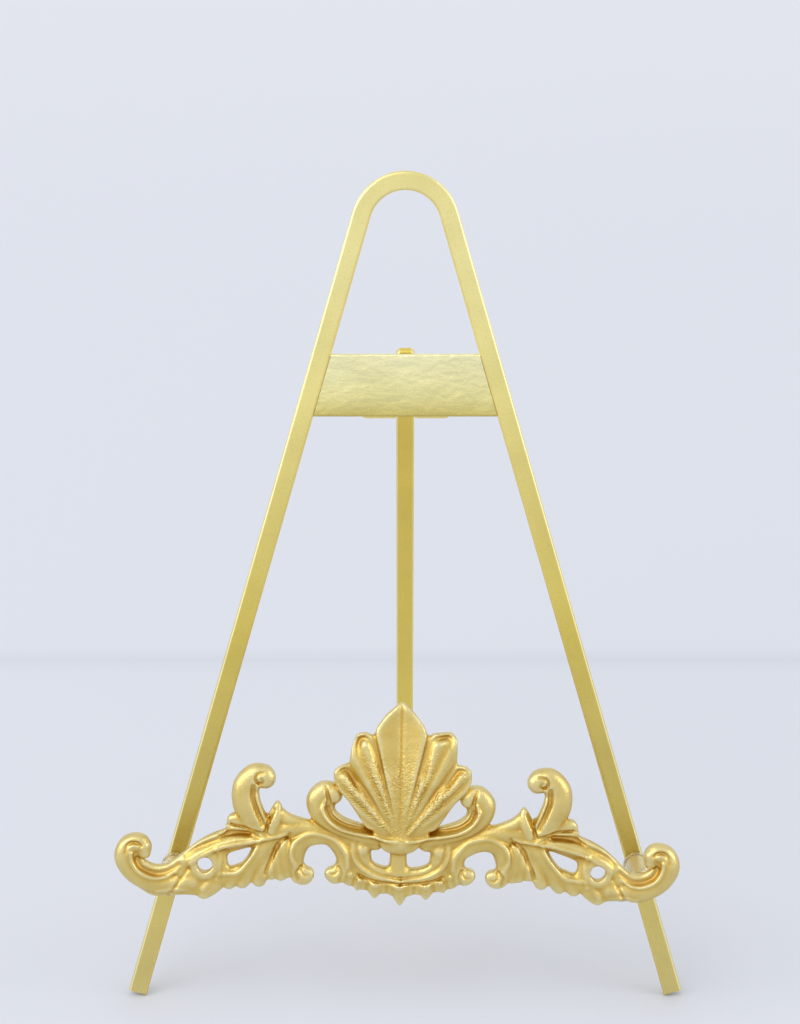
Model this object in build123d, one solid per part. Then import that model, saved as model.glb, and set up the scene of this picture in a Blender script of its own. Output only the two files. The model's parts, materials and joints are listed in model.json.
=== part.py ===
"""Folding display easel: a bent-bar A-frame that leans back on one hinged rear leg,
with two sleeved ledge arms that carry a pierced ornamental casting as the front lip.

Everything except the rear leg is drawn in the frame's own coordinates, with x across,
y towards the back and z up along the leaning frame.  on_frame() then leans it back.
The frame's front face lies in the plane y = 0.  Millimetres.
"""
from build123d import *
import math
import os

# ---------------------------------------------------------------- driving dimensions
LEAN = 13.0                # frame leans back from vertical, degrees
LEG_SPREAD = 20.0          # rear leg from vertical when open, degrees
SPLAY = 16.2               # each front leg from the frame's centre line, degrees
BAR_WIDTH = 6.0            # bent bar of the front frame
BAR_THICK = 3.0
BAR_ROUND = 0.9            # rolled edge of the bar
APEX = 303.0               # height along the frame at which the two leg lines would cross
ARCH_RADIUS = 14.3         # centre line of the bend at the top
FEET_Y = -54.7             # frame's foot line, so that the origin is mid footprint

PLATE_BOTTOM = 191.3       # flat plate welded between the legs, along the frame
PLATE_HEIGHT = 20.0
PLATE_THICK = 2.5
PLATE_ROUND = 0.8

LEG_WIDTH = 5.8            # rear leg strip
LEG_THICK = 2.5
LEG_ROUND = 0.6
LEG_TIP_ROUND = 1.6
HEAD_PAST_STOP = 0.5       # how far the leg's head reaches past its stop
STOP_GAP = 0.05            # clearance left at the open stop

PIN_BELOW_TOP = 13.0       # hinge pin below the plate's top edge
PIN_DIAMETER = 3.0
PIN_PLAY = 0.1             # on the diameter
BARREL_DIAMETER = 5.0      # knuckle tube welded across the leg's front face
WELD_SINK = 0.1            # knuckle's bed in the leg's face
RIVET_HEAD = 6.0
RIVET_HEAD_HEIGHT = 1.7

BRACKET_THICK = 1.5
BRACKET_REACH = 14.4       # outer edge of each flange from the centre line
BRACKET_HANG = 0.8         # flange below the plate's bottom edge
BRACKET_HEIGHT = 15.5
BRACKET_CORNER = 2.0
EAR_WALL = 1.0             # ear's rim outside the rivet head
EAR_CLEARANCE = 0.15       # between the ear and the leg's side

ARM_HEIGHT = 45.0          # ledge arms, along the frame
ARM_DIAMETER = 5.0
ARM_LENGTH = 24.0          # leg's front face to the casting's back
SLEEVE_OUTER = 8.5
SLEEVE_BORE = 5.1
SLEEVE_END_GAP = 0.6

CAST_THICK = 3.4           # scrolls of the casting
SHELL_THICK = 4.8          # raised shell at its middle
CAST_HEIGHT = 51.8         # casting's own centre, along the frame
CAST_SHIFT = -1.4          # the casting sits a little to the left
CAST_ROLL = 1.0            # and a little clockwise, degrees
LEFT_STRETCH = 1.016       # the two wings are not quite the same length
RIGHT_STRETCH = 0.985

# ---------------------------------------------------------------- derived values
SLOPE = math.tan(math.radians(SPLAY))
HALF_BAR = BAR_WIDTH / 2
FOLD = LEAN + LEG_SPREAD                    # between the frame and the open rear leg
PLATE_TOP = PLATE_BOTTOM + PLATE_HEIGHT
PIN_HEIGHT = PLATE_TOP - PIN_BELOW_TOP
LEG_BEHIND_PIN = BARREL_DIAMETER / 2 - WELD_SINK        # leg's front face
# The open leg's front face just meets the plate's top rear edge.
PIN_BEHIND = (PIN_BELOW_TOP * math.sin(math.radians(FOLD)) - LEG_BEHIND_PIN + STOP_GAP) \
    / math.cos(math.radians(FOLD))
PIN_Y = BAR_THICK + PIN_BEHIND
EAR_INNER = LEG_WIDTH / 2 + EAR_CLEARANCE
EAR_OUTER = EAR_INNER + BRACKET_THICK


def foot_height():
    """Height along the frame of a front leg's cut end, so that its corner is at zero."""
    across = math.sin(math.radians(SPLAY)) * math.cos(math.radians(LEAN))
    through = math.sin(math.radians(LEAN))
    drop = ((HALF_BAR - BAR_ROUND) * across
            + (BAR_THICK / 2 - BAR_ROUND) * through
            + BAR_ROUND * math.hypot(across, through))
    return (drop + BAR_THICK / 2 * through) / math.cos(math.radians(LEAN))


def half_span(height):
    """Distance of a front leg's centre line from the middle, at a height on the frame."""
    return (APEX - height) * SLOPE


def on_frame(shape):
    """Lean a shape drawn in the frame's coordinates back into its place."""
    return Pos(0, FEET_Y, 0) * Rot(-LEAN, 0, 0) * shape


def upright(sketch, front, thickness):
    """Extrude a sketch in x and height towards the back, from the depth `front`."""
    return Pos(0, front, 0) * Rot(90, 0, 0) * extrude(sketch, -thickness)


def pin_place():
    """The hinge pin's centre, in the finished object's coordinates."""
    return on_frame(Pos(0, PIN_Y, PIN_HEIGHT)).position


# ---------------------------------------------------------------- frame and plate
def leg_outline(inset):
    """Closed outline of the bent bar's outer (inset 0) or inner side, down to the floor."""
    radius = ARCH_RADIUS + HALF_BAR - inset
    centre = APEX - ARCH_RADIUS / math.sin(math.radians(SPLAY))
    tangent = (radius * math.cos(math.radians(SPLAY)),
               centre + radius * math.sin(math.radians(SPLAY)))
    reach = BAR_WIDTH * 2
    foot = (tangent[0] + (tangent[1] + reach) * SLOPE, -reach)
    side = Line((foot[0], foot[1]), tangent)
    top = ThreePointArc(tangent, (0, centre + radius), (-tangent[0], tangent[1]))
    other = Line((-tangent[0], tangent[1]), (-foot[0], foot[1]))
    return make_face(side + top + other + Line((-foot[0], foot[1]), (foot[0], foot[1])))


def front_frame():
    """One bar bent into a narrow arch, its two ends cut square for feet."""
    bar = upright(leg_outline(0) - leg_outline(BAR_WIDTH), 0, BAR_THICK)
    end = foot_height()
    reach = BAR_WIDTH * 8      # more than the bar's end in every direction
    cutter = Box(reach, reach, reach, align=(Align.CENTER, Align.CENTER, Align.MAX))
    for side in (-1, 1):
        bar -= Pos(side * half_span(end), 0, end) * Rot(0, -side * SPLAY, 0) * cutter
    long_edges = [edge for edge in bar.edges() if edge.length > BAR_WIDTH * 2]
    return fillet(long_edges, BAR_ROUND)


def back_plate():
    """Flat plate whose slanted ends are welded to the insides of the legs."""
    inner = HALF_BAR / math.cos(math.radians(SPLAY))
    low = half_span(PLATE_BOTTOM) - inner
    high = half_span(PLATE_TOP) - inner
    outline = Polygon((-low, PLATE_BOTTOM), (low, PLATE_BOTTOM), (high, PLATE_TOP),
                      (-high, PLATE_TOP), align=None)
    plate = upright(outline, BAR_THICK - PLATE_THICK, PLATE_THICK)
    long_edges = plate.edges().filter_by(Axis.X)
    return fillet(long_edges, PLATE_ROUND)


# ---------------------------------------------------------------- hinge
def hinge_bracket(side):
    """Stamped angle: a flange welded behind the plate and an ear for the hinge pin."""
    bottom = PLATE_BOTTOM - BRACKET_HANG
    middle = bottom + BRACKET_HEIGHT / 2
    width = BRACKET_REACH - EAR_INNER
    flange = Pos(EAR_INNER + width / 2, BAR_THICK + BRACKET_THICK / 2, middle) \
        * Box(width, BRACKET_THICK, BRACKET_HEIGHT)
    corners = flange.edges().filter_by(Axis.Y).group_by(Axis.X)[-1]
    flange = fillet(corners, BRACKET_CORNER)
    ear_round = RIVET_HEAD / 2 + EAR_WALL
    ear = Pos(0, PIN_Y, PIN_HEIGHT) * Rot(0, 90, 0) * Cylinder(ear_round, BRACKET_THICK)
    web = Pos(0, (BAR_THICK + PIN_Y) / 2, PIN_HEIGHT) \
        * Box(BRACKET_THICK, PIN_Y - BAR_THICK, ear_round * 2)
    ear_at = Pos(EAR_INNER + BRACKET_THICK / 2, 0, 0)
    hole = Pos(0, PIN_Y, PIN_HEIGHT) * Rot(0, 90, 0) * Cylinder(PIN_DIAMETER / 2, EAR_OUTER * 4)
    bracket = flange + ear_at * (ear + web) - hole
    return bracket if side > 0 else mirror(bracket, Plane.YZ)


def hinge_rivet():
    """Rivet through both ears, with a low domed head on each end."""
    shank = Rot(0, 90, 0) * Cylinder(PIN_DIAMETER / 2, EAR_OUTER * 2)
    dome_radius = (RIVET_HEAD ** 2 / 4 + RIVET_HEAD_HEIGHT ** 2) / (2 * RIVET_HEAD_HEIGHT)
    dome = Pos(0, 0, RIVET_HEAD_HEIGHT - dome_radius) * Sphere(dome_radius)
    dome &= Cylinder(RIVET_HEAD, RIVET_HEAD_HEIGHT,
                     align=(Align.CENTER, Align.CENTER, Align.MIN))
    rivet = shank
    for turn in (90, -90):
        rivet += Rot(0, turn, 0) * Pos(0, 0, EAR_OUTER) * dome
    return Pos(0, PIN_Y, PIN_HEIGHT) * rivet


def on_leg(shape):
    """Swing a shape drawn about the hinge pin, hanging down, to the open leg's place."""
    return Pos(pin_place()) * Rot(LEG_SPREAD, 0, 0) * shape


def rear_leg():
    """Straight strip behind the hinge; its head bears on the plate when it is open."""
    fold = math.radians(FOLD)
    spread = math.radians(LEG_SPREAD)
    head = PIN_BELOW_TOP * math.cos(fold) + PIN_BEHIND * math.sin(fold) + HEAD_PAST_STOP
    length = (pin_place().Z + LEG_BEHIND_PIN * math.sin(spread)) / math.cos(spread)
    middle = LEG_BEHIND_PIN + LEG_THICK / 2
    strip = Pos(0, middle, (head - length) / 2) * Box(LEG_WIDTH, LEG_THICK, head + length)
    tip = strip.edges().filter_by(Axis.Y).group_by(Axis.Z)[-1]
    strip = fillet(tip, LEG_TIP_ROUND)
    return on_leg(fillet(strip.edges().filter_by(Axis.Z), LEG_ROUND) - knuckle_blank())


def knuckle_blank():
    """Outside of the knuckle tube."""
    return Rot(0, 90, 0) * Cylinder(BARREL_DIAMETER / 2, LEG_WIDTH)


def hinge_knuckle():
    """Short tube across the leg, which turns on the rivet between the ears."""
    bore = Rot(0, 90, 0) * Cylinder((PIN_DIAMETER + PIN_PLAY) / 2, LEG_WIDTH)
    return on_leg(knuckle_blank() - bore)


# ---------------------------------------------------------------- ledge arms
def ledge_arm(side):
    """Round rod that stands out from a front leg, square to the frame."""
    rod = Rot(90, 0, 0) * Cylinder(ARM_DIAMETER / 2, ARM_LENGTH)
    return Pos(side * half_span(ARM_HEIGHT), -ARM_LENGTH / 2, ARM_HEIGHT) * rod


def arm_sleeve(side):
    """Soft clear tube pushed over a ledge arm."""
    length = ARM_LENGTH - 2 * SLEEVE_END_GAP
    tube = Cylinder(SLEEVE_OUTER / 2, length) - Cylinder(SLEEVE_BORE / 2, length)
    return Pos(side * half_span(ARM_HEIGHT), -ARM_LENGTH / 2, ARM_HEIGHT) * Rot(90, 0, 0) * tube


# ---------------------------------------------------------------- ornamental casting
# Tapered strokes of one half, as (across, up, radius) from the casting's centre.
OUTER_SCROLL = [(61, -6.3, 5.2), (70, -6.4, 4.9), (77, -6.2, 5.2), (82.8, -2.4, 5.0),
                (85.0, 2.0, 4.8), (83.0, 4.6, 4.6)]
OUTER_CURL = [(83.0, 4.6, 4.6), (81.3, 4.6, 3.1)]
TOP_BAND = [(70.5, -2.0, 2.0), (65.5, 2.3, 2.2), (59.5, 6.4, 2.4), (51, 8.6, 2.4),
            (42, 9.2, 2.6), (36, 11.0, 2.7), (29, 10.6, 2.9), (22, 8.6, 2.6), (12, 6.8, 2.4)]
UPPER_SCROLL = [(45.5, 10.5, 4.4), (48.2, 16.0, 4.6), (49.8, 21.5, 4.3), (49.2, 25.8, 4.1),
                (46.4, 28.4, 3.9), (43.6, 28.0, 3.9)]
SMALL_LEAF = [(47, 12.0, 2.4), (53.0, 12.6, 2.2)]
TALL_LEAF = [(38, 12.5, 3.4), (39.4, 16.2, 2.0), (39.3, 19.2, 0.9)]
LEAF_SWEEP = [(38.5, 15.0, 1.6), (34, 13.2, 1.6), (28.5, 12.8, 1.6)]
LOWER_LEAF = [(44, 7.0, 3.0), (39.5, -0.8, 4.8), (46, -2.6, 4.9), (52.5, -4.4, 4.7),
              (58.5, -6.0, 4.4), (63.5, -7.6, 4.8)]
ALMOND_SIDE = [(43.5, 7.5, 2.4), (49.0, 2.0, 2.0), (57.5, -3.5, 2.2)]
HOLE_WEB = [(59.0, 2.0, 2.0), (59.2, -1.0, 1.6)]
OUTER_KNOB = [(38, 6.5, 4.0), (34.0, 4.0, 3.2), (33.4, -1.0, 2.8), (31.0, -3.8, 3.4)]
INNER_KNOB = [(22.0, 7.5, 2.8), (18.8, 4.0, 3.0), (18.2, -1.0, 2.6), (20.4, -3.6, 3.1)]
SIDE_VOLUTE = [(8, 9.0, 2.6), (15.0, 9.4, 2.6), (21.5, 12.2, 3.0), (25.8, 16.6, 3.6),
               (26.6, 21.0, 3.4), (24.2, 23.6, 3.1), (21.6, 23.6, 2.9)]
CENTRE_RING = [(13.5, 7.0, 2.4), (12.6, 1.0, 3.0), (8.0, -3.4, 2.8), (0, -4.8, 2.8)]
RING_SIDE = [(12.6, 1.0, 3.0), (16.0, -3.4, 3.0)]
FRINGE = [(15.2, -5.0, 2.8), (8.0, -7.6, 2.8), (0, -9.6, 3.0)]
STROKES = [OUTER_SCROLL, OUTER_CURL, TOP_BAND, UPPER_SCROLL, SMALL_LEAF, TALL_LEAF,
           LEAF_SWEEP, LOWER_LEAF, ALMOND_SIDE, HOLE_WEB, OUTER_KNOB, INNER_KNOB,
           SIDE_VOLUTE, CENTRE_RING, RING_SIDE, FRINGE]
STEM = [(-0.8, 8.0, 3.1), (-0.8, -4.0, 3.3)]
PIERCED_HOLE = (62.2, -1.2, 2.0)
# Each shell lobe is a wedge from the boss, as (across, up).
SHELL_ROOT = (0, 4.0)
SHELL_BOSS = 7.0
CENTRE_LOBE = [(-9.2, 41.0), (-7.2, 46.0), (0, 52.6), (7.2, 46.0), (9.2, 41.0)]
SIDE_LOBES = [[(7.6, 38.0), (10.0, 42.2), (14.6, 43.3), (16.9, 41.0), (17.0, 33.4)],
              [(15.5, 31.6), (17.6, 33.4), (20.6, 32.6), (22.2, 30.2), (22.0, 27.5),
               (18.0, 22.8), (11.8, 13.6)]]


def tapered(start, finish):
    """Flat outline that runs from one circle to another."""
    circles = [(Pos(x, y) * Circle(radius)).edge() for x, y, radius in (start, finish)]
    return make_hull(circles)


def stroke(points, stretch=1.0):
    """Flat outline of a tapered stroke; a negative stretch puts it on the left."""
    placed = [(x * stretch, y, radius) for x, y, radius in points]
    outline = Sketch()
    for start, finish in zip(placed, placed[1:]):
        outline += tapered(start, finish)
    return outline


def scroll_outline(stretch):
    """Scrollwork of one half."""
    outline = Sketch()
    for points in STROKES:
        outline += stroke(points, stretch)
    across, up, radius = PIERCED_HOLE
    return outline - Pos(across * stretch, up) * Circle(radius)


def shell_outline():
    """Fan of pointed lobes on a round boss."""
    fan = Pos(*SHELL_ROOT) * Circle(SHELL_BOSS)
    fan += make_face(Polyline([SHELL_ROOT, *CENTRE_LOBE], close=True))
    for lobe in SIDE_LOBES:
        half = make_face(Polyline([SHELL_ROOT, *lobe], close=True))
        fan += half + mirror(half, Plane.YZ)
    return fan


def ornament_casting():
    """Pierced scrollwork with a raised shell, flat behind."""
    flat = scroll_outline(RIGHT_STRETCH) + scroll_outline(-LEFT_STRETCH) + stroke(STEM)
    scrolls = upright(flat, -ARM_LENGTH - CAST_THICK, CAST_THICK)
    shell = upright(shell_outline(), -ARM_LENGTH - SHELL_THICK, SHELL_THICK)
    return Pos(CAST_SHIFT, 0, CAST_HEIGHT) * Rot(0, CAST_ROLL, 0) * (scrolls + shell)


# ---------------------------------------------------------------- output
NODES = {
    "front_frame": on_frame(front_frame()),
    "back_plate": on_frame(back_plate()),
    "hinge_bracket_left": on_frame(hinge_bracket(-1)),
    "hinge_bracket_right": on_frame(hinge_bracket(1)),
    "hinge_rivet": on_frame(hinge_rivet()),
    "hinge_knuckle": hinge_knuckle(),
    "rear_leg": rear_leg(),
    "ledge_arm_left": on_frame(ledge_arm(-1)),
    "ledge_arm_right": on_frame(ledge_arm(1)),
    "arm_sleeve_left": on_frame(arm_sleeve(-1)),
    "arm_sleeve_right": on_frame(arm_sleeve(1)),
    "ornament_casting": on_frame(ornament_casting()),
}

os.makedirs("parts", exist_ok=True)
for name, solid in NODES.items():
    export_step(solid, f"parts/{name}.step")
whole = Compound(children=list(NODES.values())).bounding_box()
print("hinge pin at", pin_place())
print("bounds", whole.min, whole.max)
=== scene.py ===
import json
import math

import bpy
import numpy as np
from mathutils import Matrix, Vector


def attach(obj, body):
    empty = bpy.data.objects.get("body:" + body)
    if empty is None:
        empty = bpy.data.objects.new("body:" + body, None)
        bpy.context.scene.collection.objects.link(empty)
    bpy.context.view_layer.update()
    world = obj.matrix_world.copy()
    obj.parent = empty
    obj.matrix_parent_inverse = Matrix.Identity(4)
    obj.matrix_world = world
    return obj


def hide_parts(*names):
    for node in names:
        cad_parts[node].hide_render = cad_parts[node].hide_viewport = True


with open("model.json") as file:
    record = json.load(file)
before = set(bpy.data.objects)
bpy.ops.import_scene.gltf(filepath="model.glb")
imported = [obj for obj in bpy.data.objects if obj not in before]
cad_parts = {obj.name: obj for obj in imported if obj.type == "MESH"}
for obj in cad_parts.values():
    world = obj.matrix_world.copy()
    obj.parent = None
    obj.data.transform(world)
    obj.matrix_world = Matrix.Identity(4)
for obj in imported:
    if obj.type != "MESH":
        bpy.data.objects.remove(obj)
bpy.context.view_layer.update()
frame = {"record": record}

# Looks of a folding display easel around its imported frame.  Blender objects are in metres.
# The casting and the other worked pieces are drawn in millimetres and scaled by MM.
MM = 0.001
rng = np.random.default_rng(7)


# ---------------------------------------------------------------- places read from the frame
MOUNTS = {mount["name"]: mount for mount in frame["record"]["mounts"]}
LIP = MOUNTS["lip_back"]
BACKWARD = np.array(LIP["axis"])                 # square to the leaning frame
FORWARD = -BACKWARD
ACROSS = np.array([1.0, 0.0, 0.0])
UP = np.cross(FORWARD, ACROSS)                   # along the leaning frame
LIP_BACK = np.array(LIP["pos_m"])

LIP_UP = 62.0             # the mount's height along the frame
LIP_OUT = 24.0            # and its distance in front of the legs' faces
CAST_SHIFT = 1.4          # the casting sits this far to the left
CAST_DROP = 10.2          # casting's centre below the lip mount, along the frame
CAST_ROLL = math.radians(1.0)
# The wings differ: each is stretched, and its middle is pulled out or in by hand finishing.
STRETCH = {1: 0.985, -1: 1.016}
SPREAD_AT = (0, 30, 40, 48, 58, 66, 75, 82, 92)
SPREAD_ACROSS = (0, 0.1, 0.3, 0.65, 1.35, 0.9, 0.1, 0.1, 0.1)
SPREAD_UP = (0, -0.5, -0.2, 0.1, -0.4, -0.3, -0.2, -0.3, -0.3)


# ---------------------------------------------------------------- meshes from arrays
def mesh_object(name, points, faces, smooth=True):
    mesh = bpy.data.meshes.new(name)
    mesh.from_pydata(np.asarray(points).tolist(), [], [list(face) for face in faces])
    mesh.validate()
    mesh.polygons.foreach_set("use_smooth", [smooth] * len(mesh.polygons))
    mesh.update()
    obj = bpy.data.objects.new(name, mesh)
    bpy.context.scene.collection.objects.link(obj)
    return obj


def frame_point(x, up, out):
    """Point in the leaning frame: across, along it and out from the legs' faces, in millimetres."""
    return LIP_BACK + MM * ((x + CAST_SHIFT) * ACROSS + (up - LIP_UP) * UP + (out - LIP_OUT) * FORWARD)


def smooth_min(a, b, blend):
    overlap = np.maximum(blend - np.abs(a - b), 0.0) / blend
    return np.minimum(a, b) - overlap * overlap * blend / 4


def smooth_max(a, b, blend):
    return -smooth_min(-a, -b, blend)


def rounded_path(points, steps=6):
    """Catmull-Rom curve through the points, each of any number of values."""
    p = np.array(points, float)
    if len(p) < 3:
        return p
    p = np.vstack([2 * p[0] - p[1], p, 2 * p[-1] - p[-2]])
    out = []
    for a, b, c, d in zip(p, p[1:], p[2:], p[3:]):
        for t in np.arange(steps) / steps:
            out.append(0.5 * (2 * b + (c - a) * t + (2 * a - 5 * b + 4 * c - d) * t * t
                              + (3 * b - a - 3 * c + d) * t ** 3))
    out.append(p[-2])
    return np.array(out)


def on_wing(path, side, lift=0.0):
    """Put a path drawn for the average wing on the right (1) or left (-1) wing.

    The lift raises it on the right and lowers it on the left.
    """
    placed = np.array(path, float)
    across = np.abs(placed[:, 0])
    placed[:, 1] += side * (lift + np.interp(across, SPREAD_AT, SPREAD_UP))
    placed[:, 0] += side * np.interp(across, SPREAD_AT, SPREAD_ACROSS)
    placed[:, 0] *= side * STRETCH[side]
    return placed


# ---------------------------------------------------------------- the casting's field
CELL = 0.36
U_AXIS = np.arange(-92.5, 91.5, CELL)
V_AXIS = np.arange(-16.0, 55.0, CELL)
W_AXIS = (np.arange(-2, 23) + 0.5) * CELL
FAR = 3.0                 # the field's value where nothing has been drawn
BASE_STIPPLE = 0.12


class Relief:
    """A field over the casting's grid: negative inside.  u across, v up, w to the front."""

    def __init__(self):
        self.shape = (len(U_AXIS), len(V_AXIS), len(W_AXIS))
        self.field = np.full(self.shape, FAR, np.float32)
        self.detail = np.zeros(self.shape[:2], np.float32)
        self.stipple = np.full(self.shape[:2], BASE_STIPPLE, np.float32)

    def window(self, points, margin):
        low = points[:, :2].min(0) - margin
        high = points[:, :2].max(0) + margin
        i0, i1 = np.searchsorted(U_AXIS, [low[0], high[0]])
        j0, j1 = np.searchsorted(V_AXIS, [low[1], high[1]])
        u, v = np.meshgrid(U_AXIS[i0:i1], V_AXIS[j0:j1], indexing="ij")
        return (slice(i0, i1), slice(j0, j1)), u, v

    def nearest(self, path, u, v):
        """Distance to a path and the path's other values at the nearest place."""
        best = np.full(u.shape, 1e9)
        dist = np.full(u.shape, 1e9)
        values = np.zeros(u.shape + (path.shape[1] - 2,))
        for a, b in zip(path, path[1:]):
            step = b[:2] - a[:2]
            length2 = max(step @ step, 1e-9)
            t = np.clip(((u - a[0]) * step[0] + (v - a[1]) * step[1]) / length2, 0, 1)
            d = np.hypot(u - a[0] - t * step[0], v - a[1] - t * step[1])
            value = a[2:] + t[..., None] * (b[2:] - a[2:])
            score = d - value[..., 0]
            closer = score < best
            best = np.where(closer, score, best)
            dist = np.where(closer, d, dist)
            values = np.where(closer[..., None], value, values)
        return dist, values

    def add(self, place, solid, blend):
        part = self.field[place]
        self.field[place] = smooth_min(part, solid.astype(np.float32), blend)

    def rib(self, points, rise=0.75, base=1.6, blend=0.5, sides=(1, -1), lift=0.0):
        """Rounded rib along (u, v, radius); its height is base + rise * radius."""
        for side in sides:
            path = on_wing(rounded_path(points), side, lift)
            margin = path[:, 2].max() + 2.0
            place, u, v = self.window(path, margin)
            d, values = self.nearest(path, u, v)
            up = np.maximum(W_AXIS - base, 0) / rise
            solid = np.sqrt(d[..., None] ** 2 + up ** 2) - values[..., 0, None]
            self.add(place, solid, blend)

    def line(self, points, height, width, sides=(1, -1)):
        """Fine ridge (positive height) or groove (negative) along (u, v, strength)."""
        for side in sides:
            path = on_wing(rounded_path(points), side)
            place, u, v = self.window(path, width * 2)
            d, values = self.nearest(path, u, v)
            profile = np.clip(1 - (d / (width * 1.6)) ** 2, 0, 1) ** 2
            self.detail[place] += profile * values[..., 0] * height

    def ball(self, u0, v0, radius, rise=1.0, base=1.2, blend=0.3, sides=(1, -1), lift=0.0):
        self.rib([(u0, v0, radius), (u0 + 0.01, v0, radius)], rise, base, blend, sides, lift)


def polygon_distance(outline, u, v):
    """Signed distance to a closed polygon, negative inside."""
    inside = np.zeros(u.shape, bool)
    dist = np.full(u.shape, 1e9)
    p = np.array(outline, float)
    for a, b in zip(p, np.roll(p, -1, axis=0)):
        step = b - a
        t = np.clip(((u - a[0]) * step[0] + (v - a[1]) * step[1]) / (step @ step), 0, 1)
        dist = np.minimum(dist, np.hypot(u - a[0] - t * step[0], v - a[1] - t * step[1]))
        if a[1] != b[1]:
            crosses = (a[1] > v) != (b[1] > v)
            at = (b[0] - a[0]) * (v - a[1]) / (b[1] - a[1]) + a[0]
            inside ^= crosses & (u < at)
    return np.where(inside, -dist, dist)


# ---------------------------------------------------------------- scrollwork of one half
# Paths are (across, up, radius) from the casting's centre, drawn for the average of both wings.
OUTER_TUBE = [(66, -6.6, 3.0), (72, -7.4, 3.1), (77.8, -7.0, 3.3), (83.0, -4.2, 3.4),
              (85.9, 0.4, 3.5), (84.9, 4.2, 3.4), (81.9, 5.3, 3.2), (80.2, 3.8, 2.5)]
OUTER_CURL = [(80.2, 4.6, 2.3), (79.9, 2.4, 1.9)]
VOLUTE_EYE = [(80.6, 2.6, 1.7), (83.4, 2.2, 1.8)]
WING_BAND = [(83.0, 2.2, 1.4), (81.4, -1.4, 2.0), (77.5, -3.6, 2.2), (73, -3.6, 2.4),
             (69.5, -2.0, 2.3), (66.5, 0.0, 2.3)]
WING_FILL = [(65.6, -5.0, 2.7), (68.2, -4.4, 2.7)]
WING_LOW = [(61.5, -8.2, 3.1), (66, -8.2, 2.7), (71.5, -8.6, 2.4), (76.6, -9.0, 2.3),
            (79.6, -7.4, 2.3)]
TOP_BAND = [(70.5, -2.1, 2.2), (66.2, 1.1, 2.7), (60.8, 4.7, 3.2), (54, 7.4, 3.4), (47, 8.4, 2.9),
            (41, 9.4, 2.6), (36, 10.6, 2.7), (29, 10.4, 2.9), (22, 8.6, 2.7), (14, 7.6, 2.4),
            (8, 7.0, 2.4)]
UPPER_TUBE = [(43.6, 9.4, 2.8), (46.6, 14.0, 4.2), (49.0, 19.5, 4.4), (49.3, 24.4, 4.1),
              (46.6, 28.0, 3.8), (43.8, 28.3, 3.5)]
UPPER_BULB = (42.9, 27.4, 3.3)
SMALL_LEAF_HIGH = [(44.0, 10.4, 1.4), (49.4, 12.9, 2.1), (52.8, 13.9, 1.9), (54.4, 13.2, 1.1)]
SMALL_LEAF_LOW = [(44.0, 9.8, 1.2), (49.6, 10.6, 1.9), (53.2, 11.4, 1.7), (54.9, 11.4, 1.0)]
TALL_LEAF = [(40.6, 10.6, 2.4), (39.6, 14.2, 2.4), (39.0, 17.4, 1.5), (38.9, 18.9, 0.7)]
LEAF_SWEEP = [(39.0, 16.6, 1.7), (36.0, 13.8, 2.1), (31.5, 12.3, 1.9), (26.5, 11.4, 1.7)]
SIDE_VOLUTE = [(6.5, 8.2, 2.6), (13.0, 9.8, 3.1), (19.5, 11.9, 3.3), (24.6, 15.8, 3.6),
               (26.4, 20.0, 3.5), (24.4, 23.0, 3.2), (22.4, 23.4, 2.8)]
SIDE_BULB = (21.4, 22.3, 3.0)
VOLUTE_FILL = [(24.4, 15.6, 3.2), (24.0, 19.2, 3.3)]
C_OUTSIDE = [(31.2, -3.8, 2.7), (33.1, -0.8, 2.8), (33.1, 3.8, 3.4), (30.8, 7.2, 3.2)]
C_INSIDE = [(18.2, 4.4, 3.1), (17.3, 0.2, 3.0), (19.0, -3.2, 2.8)]
C_SCROLL = {1: C_OUTSIDE + [(27.0, 8.1, 2.9), (22.4, 7.0, 2.9)] + C_INSIDE,
            -1: C_OUTSIDE + [(27.0, 8.5, 2.9), (22.2, 8.4, 2.9)] + C_INSIDE}
C_FOOT_OUT = [(32.2, -4.6, 2.0), (30.4, -4.5, 2.6), (29.4, -3.7, 2.4)]
C_FOOT_IN = [(19.2, -4.0, 2.0), (20.6, -3.9, 2.5), (21.6, -3.3, 2.3)]
CENTRE_RING = [(13.4, 8.0, 2.8), (13.0, 3.4, 3.6), (11.4, -1.0, 3.1), (6.8, -3.4, 2.9),
               (0, -3.8, 2.6)]
RING_FILL = [(15.4, 4.0, 2.2), (14.8, -1.0, 2.4), (16.0, -4.2, 2.6)]
RING_LOW = [(16.0, -4.9, 2.4), (12.6, -6.0, 2.4), (8.0, -7.0, 2.5), (4.0, -7.6, 2.3), (0, -8.2, 2.6)]
PETALS = [[(8.0, -6.6, 2.7), (8.1, -8.6, 2.0), (8.1, -10.3, 0.9)],
          [(12.6, -5.4, 2.3), (13.2, -6.8, 1.6), (13.5, -8.1, 0.8)],
          [(16.6, -3.6, 2.0), (16.4, -5.4, 1.6), (16.2, -6.6, 0.8)]]
POINT_PETAL = [(-0.4, -7.0, 3.0), (-0.3, -9.8, 2.2), (-0.2, -12.4, 0.9)]
PETAL_CORES = [(8.0, -6.5, 1.1), (12.8, -5.1, 0.9), (16.0, -3.2, 0.9)]
HOLE = (62.15, -1.0)
HOLE_RADIUS = 2.45
HOLE_RIM = 1.2            # rounded rim round the hole
HOLE_RIM_TOP = 2.9        # height of the rim's middle
DETAIL_FROM = 0.8         # fine lines fade in from this height
DETAIL_FADE = 1.2
ALMOND_TOP = [(59.2, 2.2, 2.2), (57.2, 3.9, 2.4), (54.6, 5.1, 2.3), (51.8, 6.1, 2.3),
              (48.4, 7.1, 2.2)]
TUBE_VALLEY = [(42.0, 13.2, 1.6), (42.9, 15.0, 1.1)]
VOLUTE_VALLEY = [(28.0, 11.4, 1.6), (27.4, 13.4, 1.0)]
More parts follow.
